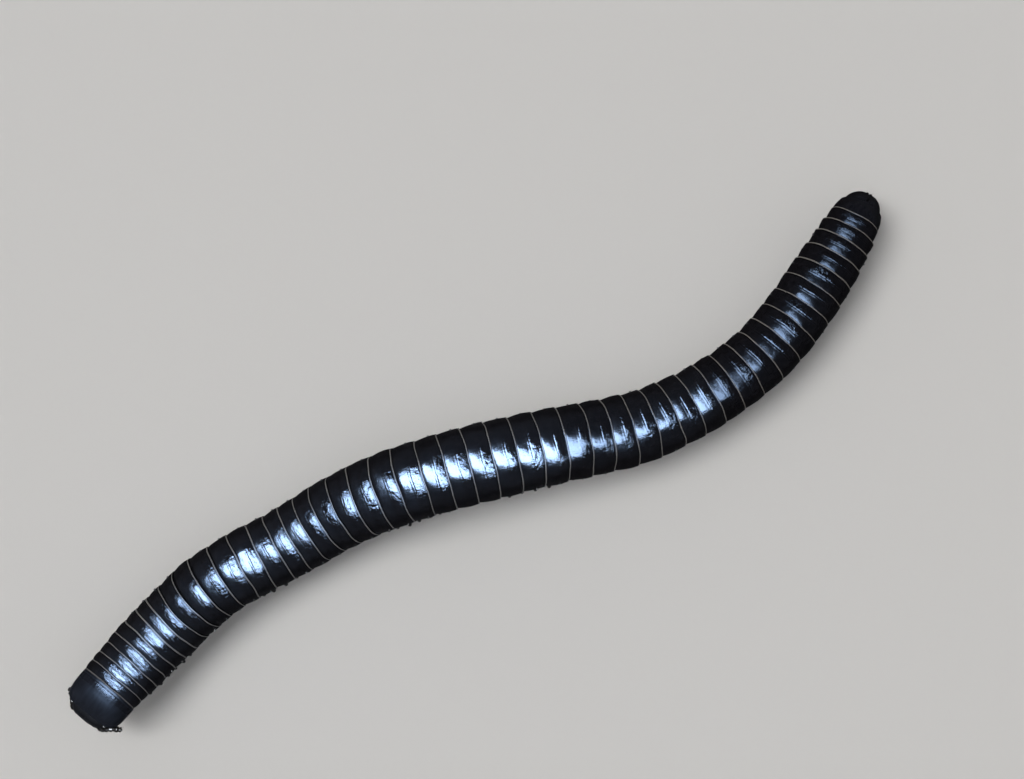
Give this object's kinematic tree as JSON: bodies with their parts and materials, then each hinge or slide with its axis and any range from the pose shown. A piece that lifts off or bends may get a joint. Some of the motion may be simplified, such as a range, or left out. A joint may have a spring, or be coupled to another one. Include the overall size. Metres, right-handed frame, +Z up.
{
  "type": "millipede",
  "caption": "Long black cylindrical millipede, ringed body in a shallow S bend, short legs down to the floor, head tucked under a smooth collar shield.",
  "frame": {"origin": "on the floor, under the centre of the animal's bounding box", "axes": "+X from the head to the tail along the body's chord, +Y to the animal's right, +Z up"},
  "size_m": [0.1134, 0.0224, 0.0127],
  "materials": {
    "shell": "glossy black cuticle, finely wrinkled, with a thin pale rear edge on every ring",
    "head_shell": "satin slate-black cuticle, very finely pitted",
    "limb": "shiny black leg and antenna cuticle",
    "eye": "wet-looking black eyelets"
  },
  "bodies": {
    "root": {"head": "head_shell", "eye_left": "eye", "eye_right": "eye", "antenna_left": "limb", "antenna_right": "limb", "collum": "head_shell", "trunk_1": "shell", "trunk_2": "shell", "trunk_3": "shell", "trunk_4": "shell", "trunk_5": "shell", "trunk_6": "shell", "trunk_7": "shell", "preanal_ring": "shell", "anal_valve_left": "shell", "anal_valve_right": "shell", "subanal_scale": "shell"}
  },
  "joints": []
}
